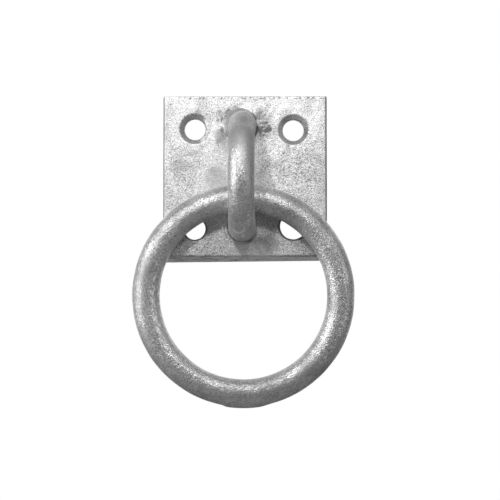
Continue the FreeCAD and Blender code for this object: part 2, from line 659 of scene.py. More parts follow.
@dataclass(frozen=True)
class Zinc:
    """Hot-dip galvanised steel, dull and grainy as the zinc froze on it.

    Fine zinc crystals each lean their own way and catch the light a little differently, which the
    eye takes as a bright, dry sparkle on a cloudy grey. Where a skin of oxide or flux lies on them
    the coat is greyer and smoother, and where the melt gathered as it drained it is bright. The
    skin's colour also serves for painted shade, the pits' colour for painted deep shade and the
    gathered colour for painted highlights and glints. The crystals are as fine as a pixel of the
    photograph can show, and real ones may be finer.

    Args:
        name: The material's name.
        bright: Colour of clean crystals.
        dull: Colour in the clouds.
        pit: Colour of the fine pits between crystals, of burnt skin and of painted deep shade.
        skin: Colour of the skin and of painted shade.
        gathered: Colour where the melt gathered, and of painted highlights and glints.
        metallic: Share of bare metal.
        smooth: Roughness of the smoothest places.
        coarse: Roughness of the coarsest places.
        matt: Roughness of the skin.
        grain: Width of one crystal in millimetres.
        rise: Height of the grain in millimetres.
        lean: How far the crystals lean, as a share of their facing.
        cloud: Width of a cloud in millimetres.
        drift: How far the clouds are drawn out, 0 for round ones.
        pitting: How dark the fine pits are, from 0 to 1.
        sparkle: How much one crystal's colour differs from the next, from 0 to 1.
        burning: How much of the pits' colour a fully burnt skin or the deepest painted shade has.
        covering: Share of the grain that still shows through a full skin.
    """

    name: str
    bright: str
    dull: str
    pit: str
    skin: str = "#8A8A8A"
    gathered: str = "#F0F0F0"
    metallic: float = 0.75
    smooth: float = 0.34
    coarse: float = 0.50
    matt: float = 0.62
    grain: float = 0.36
    rise: float = 0.11
    lean: float = 0.24
    cloud: float = 7.0
    drift: float = 0.0
    pitting: float = 0.8
    sparkle: float = 0.18
    burning: float = 0.85
    covering: float = 0.25

    def material(self) -> bpy.types.Material:
        """Builds the material's nodes.

        Returns:
            The material.
        """
        material, tree, shader = new_material(self.name)
        place = add_node(tree, "TexCoord", output="Object")
        cloud_size, grain_size = 1 / (self.cloud * MM), 1 / (self.grain * MM)
        clouds = {"Vector": place, "Scale": cloud_size, "Detail": 3.0, "Distortion": self.drift}
        cloud = add_node(tree, "TexNoise", clouds, "Fac")
        grains = {"Vector": place, "Scale": grain_size, "Detail": 2.0, "Roughness": 0.6}
        grain = add_node(tree, "TexNoise", grains, "Fac")
        crystals = add_node(tree, "TexVoronoi", {"Vector": place, "Scale": grain_size}, "Color")
        painted = add_node(tree, "Attribute", output="Fac", attribute_name=COAT_AND_PAINTED_LIGHT)
        skin = self._skin_and_painted_light(tree, painted, cloud, grain)
        clean = add_node(tree, "MapRange", {"Value": painted, "From Max": -1.0})
        burning = {"Value": painted, "From Min": 1.0, "From Max": 2.0, "To Max": self.burning}
        burnt = add_node(tree, "MapRange", burning)
        colour = self._ground(tree, cloud, grain, crystals)
        for layer, share in ((self.gathered, clean), (self.skin, skin), (self.pit, burnt)):
            colour = add_node(tree, "Mix", {0: share, 6: colour, 7: linear(layer)}, 2, data_type="RGBA")
        uneven = add_node(tree, "Math", {0: cloud, 1: grain}, operation="ADD")
        dryness = {"Value": uneven, "From Min": 0.75, "From Max": 1.25}
        roughness = add_node(tree, "MapRange", {**dryness, "To Min": self.smooth, "To Max": self.coarse})
        for level, share in ((self.smooth, clean), (self.matt, skin)):
            roughness = add_node(tree, "Mix", {0: share, 2: roughness, 3: level}, data_type="FLOAT")
        from_middle = crystals.node.outputs["Distance"]
        height = add_node(tree, "Math", {0: grain, 1: from_middle, 2: 0.35}, operation="MULTIPLY_ADD")
        covered = add_node(tree, "Math", {0: skin, 1: clean}, operation="MAXIMUM")
        bared = add_node(tree, "MapRange", {"Value": covered, "To Min": 1.0, "To Max": self.covering})
        facing = self._leaning(tree, crystals, bared)
        relief = {"Strength": bared, "Distance": self.rise * MM, "Height": height, "Normal": facing}
        looks = {"Base Color": colour, "Roughness": roughness, "Normal": add_node(tree, "Bump", relief)}
        feed(tree, shader, {"Metallic": self.metallic, **looks})
        return material

    def _skin_and_painted_light(self, tree: Tree, painted: Socket, cloud: Socket, grain: Socket) -> Socket:
        """Adds the nodes that break up the painted skin and painted shade.

        Args:
            tree: The material's nodes.
            painted: Painted state of the coat.
            cloud: Cloud noise.
            grain: Grain noise.

        Returns:
            Thickness of the skin from 0 to 1.
        """
        broken = add_node(tree, "Math", {0: cloud, 1: grain, 2: 0.25}, operation="MULTIPLY_ADD")
        thickness = {"Value": broken, "From Min": 0.35, "From Max": 0.65, "To Min": 0.6, "To Max": 1.3}
        share = add_node(tree, "MapRange", thickness)
        return add_node(tree, "Math", {0: painted, 1: share}, operation="MULTIPLY", use_clamp=True)

    def _ground(self, tree: Tree, cloud: Socket, grain: Socket, crystals: Socket) -> Socket:
        """Adds the nodes for the colour of the bare coat, cloudy, lively and pitted.

        Args:
            tree: The material's nodes.
            cloud: Cloud noise.
            grain: Grain noise.
            crystals: One colour at random for each crystal.

        Returns:
            Colour of the coat.
        """
        dullness = {"Value": cloud, "From Min": 0.35, "From Max": 0.7}
        dull = add_node(tree, "MapRange", dullness, interpolation_type="SMOOTHSTEP")
        shades = {0: dull, 6: linear(self.bright), 7: linear(self.dull)}
        clouds = add_node(tree, "Mix", shades, 2, data_type="RGBA")
        chance = add_node(tree, "SeparateColor", {0: crystals})
        sparkles = {"Value": chance, "To Min": 1.0 - self.sparkle, "To Max": 1.0 + self.sparkle}
        lively = add_node(tree, "MapRange", sparkles)
        lit = add_node(tree, "VectorMath", {0: clouds, "Scale": lively}, operation="SCALE")
        low_grain = {"Value": grain, "From Min": 0.5, "From Max": 0.34}
        pits = add_node(tree, "MapRange", low_grain, interpolation_type="SMOOTHSTEP")
        depths = {"From Min": 0.35, "From Max": 0.62, "To Min": 0.3 * self.pitting, "To Max": self.pitting}
        depth = add_node(tree, "MapRange", {"Value": cloud, **depths})
        pitting = add_node(tree, "Math", {0: pits, 1: depth}, operation="MULTIPLY")
        return add_node(tree, "Mix", {0: pitting, 6: lit, 7: linear(self.pit)}, 2, data_type="RGBA")

    def _leaning(self, tree: Tree, crystals: Socket, bared: Socket) -> Socket:
        """Adds the nodes that make each crystal face its own way.

        Args:
            tree: The material's nodes.
            crystals: One colour at random for each crystal.
            bared: How bare the crystals are of skin, from 0 to 1.

        Returns:
            Facing of the crystals.
        """
        middle = (0.5, 0.5, 0.5)
        aside = add_node(tree, "VectorMath", {0: crystals, 1: middle}, operation="SUBTRACT")
        reach = add_node(tree, "Math", {0: bared, 1: self.lean}, operation="MULTIPLY")
        lean = add_node(tree, "VectorMath", {0: aside, "Scale": reach}, operation="SCALE")
        facing = add_node(tree, "NewGeometry", output="Normal")
        leaning = add_node(tree, "VectorMath", {0: facing, 1: lean}, operation="ADD")
        return add_node(tree, "VectorMath", {0: leaning}, operation="NORMALIZE")


@dataclass(frozen=True)
class Paper:
    """Matt studio paper, plain and pale, that gives the eye nothing but a soft shadow.

    Args:
        name: The material's name.
        colour: Colour of the paper.
        fibre: Width of its fibres in millimetres.
        paler: How much paler it is seen than it is lit, where 1 is white.
        mirrored: Share of that in reflections, since the part's undersides are dark in the photograph.
        relief: Height of the fibres in millimetres.
    """

    name: str = "matt studio paper"
    colour: str = "#C6C6C6"
    fibre: float = 0.8
    paler: float = 0.5
    mirrored: float = 0.05
    relief: float = 0.02

    def material(self) -> bpy.types.Material:
        """Builds the paper with a faint fibre.

        Returns:
            The material.
        """
        material, tree, shader = new_material(self.name)
        place = add_node(tree, "TexCoord", output="Object")
        fibre = add_node(tree, "TexNoise", {"Vector": place, "Scale": 1 / (self.fibre * MM)}, "Fac")
        bump = add_node(tree, "Bump", {"Strength": 0.3, "Distance": self.relief * MM, "Height": fibre})
        camera = add_node(tree, "LightPath", output="Is Camera Ray")
        through = camera.node.outputs["Is Transmission Ray"]
        glossy = camera.node.outputs["Is Glossy Ray"]
        seen = add_node(tree, "Math", {0: camera, 1: through}, operation="MAXIMUM")
        shown = add_node(tree, "Math", {0: glossy, 1: self.mirrored, 2: seen}, operation="MULTIPLY_ADD")
        glow = add_node(tree, "Math", {0: shown, 1: self.paler}, operation="MULTIPLY")
        feed(tree, shader, {"Base Color": linear(self.colour), "Roughness": 0.9, "Normal": bump})
        feed(tree, shader, {"Emission Color": linear("#FFFFFF"), "Emission Strength": glow})
        material.cycles.emission_sampling = "NONE"
        return material


@dataclass(frozen=True)
class Lamp:
    """One soft lamp that is aimed at the part.

    Args:
        name: The lamp's name.
        turn: Degrees that it stands to the left of straight out of the wall.
        lift: Degrees that it stands above level.
        distance: Metres from the part.
        size: Width in metres.
        power: Watts.
    """

    name: str
    turn: float
    lift: float
    distance: float
    size: float
    power: float

    def place(self, aim: Vector) -> None:
        """Puts the lamp in its place.

        Args:
            aim: The point that it faces, in metres.
        """
        data = bpy.data.lights.new(self.name, "AREA")
        data.shape = "DISK"
        data.size = self.size
        data.energy = self.power
        lamp = bpy.data.objects.new(self.name, data)
        turn, lift = math.radians(self.turn), math.radians(self.lift)
        away = Vector((-math.sin(turn) * math.cos(lift), -math.cos(turn) * math.cos(lift), math.sin(lift)))
        lamp.location = aim + away * self.distance
        lamp.rotation_euler = away.to_track_quat("Z", "Y").to_euler()
        bpy.context.scene.collection.objects.link(lamp)


@dataclass
class Studio:
    """Camera, lamps, floor and white background, as far as the photograph tells them.

    The camera looks at the aim, in millimetres, from a distance, some degrees below it and to its
    right. The room is a share of white above, and so is the white behind in reflections.
    """

    aim: tuple[float, float, float] = (1.886, -4.0, -21.73)
    distance: float = 427.9
    below: float = 1.80
    right: float = 0.88
    lens: float = 101.15
    floor_drop: float = 600.0
    floor_width: float = 3000.0
    room_above: float = 0.41
    white_behind: float = 1.05
    lamps: tuple[Lamp, ...] = (
        Lamp("near lamp, upper right", -16.0, 35.0, 0.14, 0.018, 0.034),
        Lamp("small lamp, upper left", 16.0, 34.0, 0.22, 0.025, 0.146),
        Lamp("soft lamp, right", -60.0, 5.0, 0.36, 0.16, 0.18),
        Lamp("soft lamp, left", 60.0, 10.0, 0.36, 0.16, 0.63),
        Lamp("soft lamp beside the wall, left", 80.0, -10.0, 0.36, 0.16, 0.19),
    )

    def build(self) -> None:
        """Sets up the whole studio and the view transform."""
        scene = bpy.context.scene
        scene.view_settings.view_transform = "Standard"
        self._camera()
        for lamp in self.lamps:
            lamp.place(Vector(self.aim) * MM)
        self._floor()
        self._world()

    def _camera(self) -> None:
        """Sets the camera where the photograph was taken from."""
        data = bpy.data.cameras.new("camera")
        data.lens = self.lens
        data.clip_start = 0.01
        data.clip_end = 20.0
        camera = bpy.data.objects.new("camera", data)
        aside, under = math.radians(self.right), math.radians(self.below)
        away = Vector(
            (math.sin(aside) * math.cos(under), -math.cos(aside) * math.cos(under), -math.sin(under))
        )
        camera.location = (Vector(self.aim) + away * self.distance) * MM
        camera.rotation_euler = away.to_track_quat("Z", "Y").to_euler()
        bpy.context.scene.collection.objects.link(camera)
        bpy.context.scene.camera = camera

    def _floor(self) -> None:
        """Lays the pale floor, well below the hanging part and out of the photograph's view."""
        clear_selection()
        bpy.ops.mesh.primitive_grid_add(
            x_subdivisions=4,
            y_subdivisions=4,
            size=self.floor_width * MM,
            location=(0, 0, -self.floor_drop * MM),
        )
        floor = settle("floor")
        floor.data.materials.append(Paper().material())

    def _world(self) -> None:
        """Gives a dim room that is lighter above, and a white background.

        The camera sees white all round. Reflections show that white, which is lit well, where it
        stands behind the part in the photograph, and the room in front of it.
        """
        world = bpy.data.worlds.new("studio room")
        bpy.context.scene.world = world
        world.use_nodes = True
        tree = world.node_tree
        camera = add_node(tree, "LightPath", output="Is Camera Ray")
        glossy = camera.node.outputs["Is Glossy Ray"]
        through = camera.node.outputs["Is Transmission Ray"]
        direction = add_node(tree, "TexCoord", output="Generated")
        up = add_node(tree, "SeparateXYZ", {0: direction}, "Z")
        room = add_node(tree, "Math", {0: up, 1: self.room_above}, operation="MULTIPLY", use_clamp=True)
        inward = up.node.outputs["Y"]
        white = {"Value": inward, "From Min": 0.25, "From Max": 0.9, "To Max": self.white_behind}
        behind = add_node(tree, "MapRange", white, interpolation_type="SMOOTHSTEP")
        mirrored = add_node(tree, "Math", {0: glossy, 1: through}, operation="MAXIMUM")
        reflected = add_node(tree, "Math", {0: mirrored, 1: behind, 2: room}, operation="MULTIPLY_ADD")
        seen = add_node(tree, "Math", {0: camera, 1: reflected}, operation="MAXIMUM")
        feed(tree, tree.nodes["Background"], {"Color": seen})


@dataclass(frozen=True)
class ScrewHole:
    """One drilled and countersunk hole of the plate, as the photograph shows it.

    Args:
        x: Middle across, in millimetres.
        z: Middle up, in millimetres.
        bore: Width of the hole.
        sink: Width of the countersink that is free of zinc.
    """

    x: float
    z: float
    bore: float = 6.5
    sink: float = 9.4


@dataclass
class Plate:
    """Square of flat bar with sheared ends, four countersunk screw holes and two leg holes."""

    width: float = 50.0
    height: float = 48.95
    thickness: float = 4.0
    middle_x: float = 0.35
    top: float = 25.4
    shear_lean: float = 1.8
    cut_turn: float = 0.55
    side_round: float = 0.6
    cut_round: float = 0.25
    # Screw holes, of which the lower two have zinc in their sinks
    upper_left: ScrewHole = ScrewHole(-15.0, 15.3)
    upper_right: ScrewHole = ScrewHole(15.1, 15.0)
    lower_left: ScrewHole = ScrewHole(-15.0, -15.25, sink=7.3)
    lower_right: ScrewHole = ScrewHole(15.05, -14.5, bore=8.0, sink=8.8)
    # Holes of the legs, each with a gap beside the foot, and the sunk edge behind the lower one
    leg_x: float = -0.43
    leg_radius: float = 4.05
    upper_leg_z: float = 16.0
    lower_leg_z: float = -14.8
    undercut: Mark = Mark(0.28, 14.75, 4.3)
    undercut_depth: float = 1.6
    foot_gap: Mark = Mark(-0.98, -15.0, 4.75)
    foot_gap_depth: float = 1.2
    back_weld: float = 1.4
    # Spatter on the ground right of the upper foot
    rough: float = 0.16
    rough_depth: float = -3.5
    rough_ground: tuple[Mark, ...] = (
        Mark(4.6, 20.3, 0.7, 0.7),
        Mark(5.9, 19.5, 0.8, 0.8),
        Mark(4.7, 18.7, 0.6, 0.9),
        Mark(6.9, 18.6, 0.6, 0.7),
        Mark(5.6, 16.1, 0.7, 0.9),
        Mark(4.6, 15.1, 0.6, 0.8),
        Mark(7.6, 16.6, 0.7, 0.9),
        Mark(6.2, 15.0, 0.6, 0.8),
        Mark(5.2, 14.0, 0.6, 0.7),
        Mark(7.1, 13.6, 0.7, 0.7),
        Mark(8.4, 15.4, 0.6, 0.8),
    )
    # Zinc that fills the right side of the upper left sink, between two turns round the hole
    fill: float = 1.45
    fill_rim: Slope = Slope(0.1, 0.5)
    fill_above: Slope = Slope(55.0, 20.0)
    fill_below: Slope = Slope(-75.0, -40.0)
    fill_depth: Slope = Slope(-1.6, -2.5)
    # Width of the mesh's squares, and the coat's lumps with the places where they are coarser
    grid: float = 0.26
    smoothings: int = 3
    coat: tuple[Lumps, ...] = (Lumps(6.0, 0.10), Lumps(1.8, 0.04), Lumps(0.8, 0.03))
    back_coat: float = 0.25
    coat_depth: Slope = Slope(-0.3, -1.2)
    coarse_coat: Lumps = Lumps(0.75, 0.2)
    coarse_depth: Slope = Slope(-3.0, -3.6)
    coarse_places: tuple[Patch, ...] = (
        Patch(-11.0, -19.6, 8.0, 5.0, 1.0),
        Patch(15.5, -20.5, 5.5, 3.0, 0.8),
        Patch(15.0, 1.0, 9.0, 13.0, 0.35),
        Patch(-19.5, 0.0, 5.0, 12.0, 0.35),
    )
    # Skin on the front and in the upper sinks; painted shade round the lower holes, which lie in the
    # ring's shadow; a dark line along the long front edges, partly thin zinc and partly painted shade
    # where the rounded edge turns from the light; on the lower end painted light with the shear's
    # streaks, and a dark line along the front's lower edge
    stain_depth: float = -0.8
    drained: float = 0.6
    drained_edge: Slope = Slope(0.15, -0.25)
    lower_hole_shade: float = 1.5
    lower_hole_shade_edge: Slope = Slope(0.35, -0.1)
    left_edge_shade: float = 1.5
    right_edge_shade: float = 2.0
    edge_shade_depth: Slope = Slope(-3.3, -3.65)
    edge_shade_width: Slope = Slope(0.6, 0.2)
    end_painted_light: float = -0.6
    end_streak: float = 1.6
    end_edge: Slope = Slope(-0.15, -0.35)
    end_line: float = 0.8
    end_line_even: float = 0.6
    end_line_wander: float = 0.9
    end_line_edge: Slope = Slope(0.3, 0.05)
    end_streaks: float = 0.3
    waviness: float = 1.5
    end_low: Slope = Slope(0.1, -0.4)
    end_behind: Slope = Slope(0.0, -0.5)
    stains_and_painted_light: StainsAndPaintedLight = (
        Patch(-12.5, 5.3, 6.0, 1.3, -0.45, -8.0),
        Patch(-17.6, 5.4, 4.6, 2.6, 0.30, 40.0),
        Patch(-15.2, 7.8, 2.2, 1.1, 0.34, 10.0),
        Patch(-8.6, 0.8, 3.4, 3.6, 0.42),
        # Painted shade beside the staple, just above the ring, where its shadow falls
        Patch(5.2, 0.7, 1.4, 2.6, 0.25),
        Patch(-14.1, 20.3, 1.1, 1.1, 0.45),
        Patch(-7.2, 13.2, 2.0, 2.5, 0.6),
        Patch(-5.6, 10.0, 1.1, 2.2, 0.35),
        Patch(-3.8, 21.6, 2.4, 1.0, 0.4, 25.0),
        Patch(-7.6, 18.6, 0.9, 2.6, 0.4),
        Patch(5.9, 16.6, 2.5, 4.4, 0.5),
        Patch(4.9, 19.6, 1.6, 2.0, 0.7),
        Patch(7.3, 15.0, 1.5, 0.9, 1.6, 30.0),
        Patch(5.2, 15.0, 0.9, 1.2, 1.3),
        # Painted glints on the spatter lumps
        Patch(5.2, 17.5, 0.5, 0.5, -1.3),
        Patch(6.5, 17.6, 0.4, 0.4, -1.2),
        Patch(5.9, 13.6, 0.4, 0.4, -1.0),
        Specks(Patch(5.6, 17.4, 2.6, 4.6, 1.2), 0.7),
        Specks(Patch(-7.0, 17.0, 2.0, 5.0, 0.9), 0.7),
        # Painted glints strewn over the coarser coat low on the plate
        Specks(Patch(-11.0, -19.6, 8.0, 5.0, -1.8), 0.5, -0.05),
        Specks(Patch(15.5, -20.5, 5.5, 3.0, -1.0), 0.6),
        Specks(Patch(14.0, 2.0, 11.0, 14.0, 1.0), 0.42, 0.3),
        Specks(Patch(-19.0, 1.0, 7.0, 12.0, 1.0), 0.42, 0.3),
        Patch(19.0, 15.25, 0.8, 3.0, 0.95),
        # Smoother grey below the lower foot, partly skin and partly painted shade where the staple's shadow
        # falls
        Patch(4.9, -20.4, 8.5, 3.2, 0.5),
        Patch(-3.2, -20.6, 3.4, 2.6, 0.3),
        # Painted shade: a dark crescent round the lower foot, where it meets the plate
        Arc(-0.85, -15.1, 4.8, 0.8, 185.0, 355.0, 0.85),
        # Dark broken line along the top edge, partly thin zinc and partly painted shade on the edge
        Specks(Patch(0.35, 24.75, 40.0, 0.36, 1.1), 0.8, 0.05),
        # Painted shade: a dark beaded line round the weld's toe on the left, where the bead meets the plate
        Arc(-1.2, 16.5, 5.75, 0.42, 95.0, 222.0, 1.6, 11.0),
    )
    finish: Zinc = Zinc(
        "hot-dip zinc on flat bar",
        "#F0F0F0",
        "#DFDFDF",
        "#5C5C5C",
        skin="#909090",
        metallic=0.65,
        smooth=0.43,
        coarse=0.61,
        rise=0.07,
        lean=0.13,
        drift=1.0,
        pitting=1.0,
        sparkle=0.16,
    )

    def build(self) -> Piece:
        """Makes the plate.

        Returns:
            The finished plate.
        """
        plate = self._blank()
        self._round_edges(plate)
        holes = (self.upper_left, self.upper_right, self.lower_left, self.lower_right)
        cutters = [self._screw_hole(hole) for hole in holes]
        cutters.append(self._leg_hole(self.upper_leg_z, self.undercut, self.undercut_depth))
        cutters.append(self._leg_hole(self.lower_leg_z, self.foot_gap, self.foot_gap_depth))
        cutters.append(self._back_weld_sink())
        for cutter in cutters:
            cut_away(plate, cutter)
        remesh(plate, self.grid, self.smoothings)
        for side in (-1, 1):
            swell(plate, side * self.cut_turn / 2, lambda p, s=side: self._cut_share(p, s), "Z")
        swell(plate, -self.fill, self._fill_share, "Y")
        swell(plate, self.end_streaks, self._end_share, "Z")
        strike(plate, self.rough, self.rough_ground, self.rough_depth)
        for lumps in self.coat:
            roughen(plate, lumps, self._front_share)
        roughen(plate, self.coarse_coat, self._coarse_share)
        paint(plate, self._skin_and_painted_light)
        hand_over(plate, "fixing", "plate", self.finish.material())
        return plate

    @property
    def bottom(self) -> float:
        """Where the front ends below."""
        return self.top - self.height

    def _cut_share(self, place: Vector, side: int) -> float:
        """How far one half of the lower end follows the slightly turned cut."""
        across = side * (place.x - self.middle_x) / (self.width / 2)
        return max(0.0, across) * fade(place.z, self.lower_leg_z, self.bottom)

    def _near_hole(self, place: Vector) -> ScrewHole:
        """The screw hole in the same quarter of the plate as a place.

        Args:
            place: A place in millimetres.

        Returns:
            The hole.
        """
        if place.z > 0.0:
            return self.upper_right if place.x > 0.0 else self.upper_left
        return self.lower_right if place.x > 0.0 else self.lower_left

    def _from_hole(self, place: Vector) -> tuple[float, float]:
        """How far right and up a place is from the middle of its screw hole."""
        hole = self._near_hole(place)
        return place.x - hole.x, place.z - hole.z

    def _filled(self, place: Vector) -> float:
        """How full of zinc the right side of the upper left sink is.

        Args:
            place: A place in millimetres.

        Returns:
            From 0 for empty to 1 for full.
        """
        if place.z < 0.0 or place.x > 0.0:
            return 0.0
        across, up = self._from_hole(place)
        turn = math.degrees(math.atan2(up, across))
        sector = self.fill_above.at(turn) * self.fill_below.at(turn)
        return sector * self.fill_rim.at(math.hypot(across, up), self.upper_left.bore / 2)

    def _fill_share(self, place: Vector) -> float:
        """How far the surface of that sink moves out to be level with the front.

        Args:
            place: A place in millimetres.

        Returns:
            Share of the sink's depth.
        """
        hole = self.upper_left
        reach = math.hypot(*self._from_hole(place))
        if reach > hole.sink / 2 or place.y > self.fill_depth.start:
            return 0.0
        depth = (hole.sink - 2 * reach) / (hole.sink - hole.bore)
        return min(1.0, depth) * self._filled(place) * self.fill_depth.at(place.y)

    def _skin_and_painted_light(self, place: Vector) -> float:
        """State of the coat: stained places, painted light and shade, drained and filled sinks, long edges
        and the lower end.

        Args:
            place: A place in millimetres.

        Returns:
            State of the coat, as paint tells it.
        """
        below = place.z - self.bottom
        # The lower end is painted brighter than its coat as painted light for that downward face, with the
        # shear's streaks and specks
        if below < self.end_edge.start:
            return self._end_painted_light_and_streaks(place) * self.end_edge.at(below)
        if place.y > self.stain_depth:
            return 0.0
        wander = drawn_noise(place, across=0.5, pattern=3.5, shift=0.5)
        line = self.end_line * (self.end_line_even + self.end_line_wander * wander)
        skin = max(coat_state(place, self.stains_and_painted_light), line * self.end_line_edge.at(below))
        reach = math.hypot(*self._from_hole(place))
        sink = self._near_hole(place).sink / 2
        if place.z > 0.0:
            inside = self.drained_edge.at(reach, sink)
            skin = max(skin, self.drained * inside * (1.0 - self._filled(place)))
        else:
            # Painted shade: a dark rim round the lower holes, which lie in the ring's shadow
            skin = max(skin, self.lower_hole_shade * self.lower_hole_shade_edge.at(reach, sink))
        # A dark line along each long front edge, partly thin zinc and partly painted shade where the rounded
        # edge turns from the light
        aside = place.x - self.middle_x
        rim = self.right_edge_shade if aside > 0 else self.left_edge_shade
        edge = self.edge_shade_depth.at(place.y) * self.edge_shade_width.at(self.width / 2 - abs(aside))
        return max(skin, rim * edge)

    def _end_painted_light_and_streaks(self, place: Vector) -> float:
        """State of the coat on the lower end: painted brighter as light for that downward face, streaked by
        the shear and specked.
        """
        speck = drawn_noise(place, across=1.7, pattern=7.5, deep=2.6)
        return self.end_painted_light + self.end_streak * self._streak(place) + speck

    def _streak(self, place: Vector) -> float:
        """Wavy lengthwise streak that the shear drew on the cut ends, from -1 to 1."""
        wave = drawn_noise(place, across=0.16, pattern=5.5, shift=0.5)
        return drawn_noise(place, across=0.35, pattern=0.5, deep=1.6, shift=self.waviness * wave)

    def _end_share(self, place: Vector) -> float:
        """How far the shear's streaks move the lower end, with its edge at the back left alone."""
        end = self.end_low.at(place.z, self.bottom) * self.end_behind.at(place.y)
        return end * (0.5 + 0.5 * self._streak(place))

    def _coarse_share(self, place: Vector) -> float:
        """How coarse the coat is where the zinc froze in larger grains."""
        return self.coarse_depth.at(place.y) * max(spot.share(place) for spot in self.coarse_places)

    def _front_share(self, place: Vector) -> float:
        """Full lumps on the front and the ends, and fewer where the back meets the wall."""
        return self.back_coat + (1.0 - self.back_coat) * self.coat_depth.at(place.y)

    def _blank(self) -> Piece:
        """The flat bar, cut to its leaning ends.

        Returns:
            The bar, with sharp edges.
        """
        clear_selection()
        middle = at_mm(self.middle_x, -self.thickness, self.top - self.height / 2)
        bpy.ops.mesh.primitive_plane_add(size=self.width * MM, location=middle, rotation=FACING_OUT)
        blank = settle("coated_plate")
        with editing(blank):
            bpy.ops.transform.resize(
                value=(1.0, 1.0, self.height / self.width), center_override=tuple(middle)
            )
            move = {"value": (0.0, self.thickness * MM, -self.shear_lean * MM)}
            bpy.ops.mesh.extrude_region_move(TRANSFORM_OT_translate=move)
        set_normals(blank)
        return blank

    def _round_edges(self, plate: Piece) -> None:
        """Rounds the long front edges of the bar, and breaks the cut ones.

        Args:
            plate: The bar.
        """
        front, half = -self.thickness, self.width / 2

        def in_front(place: Vector, off_middle: float) -> bool:
            """Whether an edge's middle is on the front, and as far aside as it should be."""
            aside = abs(place.x - self.middle_x)
            return abs(place.y - front) < NEAR and abs(aside - off_middle) < NEAR

        with editing(plate):
            pick(plate, Part.EDGES, lambda p: in_front(p, half))
            bpy.ops.mesh.bevel(offset=self.side_round * MM, segments=3)
            pick(plate, Part.EDGES, lambda p: in_front(p, 0.0))
            bpy.ops.mesh.bevel(offset=self.cut_round * MM, segments=2)

    def _screw_hole(self, hole: ScrewHole) -> Piece:
        """Cutter for one screw hole, wide in front for the countersink.

        Args:
            hole: The hole.

        Returns:
            The cutter.
        """
        spare = 1.0
        sink_depth = (hole.sink - hole.bore) / 2
        middle = Vector((hole.x, 0.0, hole.z))
        start = middle + Vector((0.0, -self.thickness - spare, 0.0))
        cutter = place_disc("screw hole", start, hole.sink / 2 + spare)
        with editing(cutter):
            push_out(spare + sink_depth)
            widen(hole.bore / (hole.sink + 2 * spare), middle)
            push_out(self.thickness - sink_depth + spare)
        return cutter

    def _leg_hole(self, level: float, gap: Mark, depth: float) -> Piece:
        """Cutter for the hole of one leg, with a gap beside the foot in front.

        Args:
            level: Place of the leg up the plate.
            gap: Middle and radius of the gap, which lies off the leg's own middle.
            depth: Depth of the gap.

        Returns:
            The cutter.
        """
        spare = 1.0
        start = Vector((gap.x, -self.thickness - spare, gap.z))
        cutter = place_disc("leg hole", start, gap.reach)
        with editing(cutter):
            push_out(spare + depth)
            widen(self.leg_radius / gap.reach, start)
            aside = at_mm(self.leg_x - gap.x, 0.0, level - gap.z)
            bpy.ops.transform.translate(value=tuple(aside))
            push_out(self.thickness - depth + spare)
        return cutter

    def _back_weld_sink(self) -> Piece:
        """Cutter for the sunk edge at the back that the lower foot's weld fills.

        Returns:
            The cutter.
        """
        spare = 0.5
        middle = Vector((self.leg_x, 0.0, self.lower_leg_z))
        wide = self.leg_radius + self.back_weld + spare
        cutter = place_disc("back weld sink", middle + Vector((0.0, spare, 0.0)), wide)
        with editing(cutter):
            push_out(-self.back_weld - spare)
            widen(self.leg_radius / wide, middle)
        return cutter


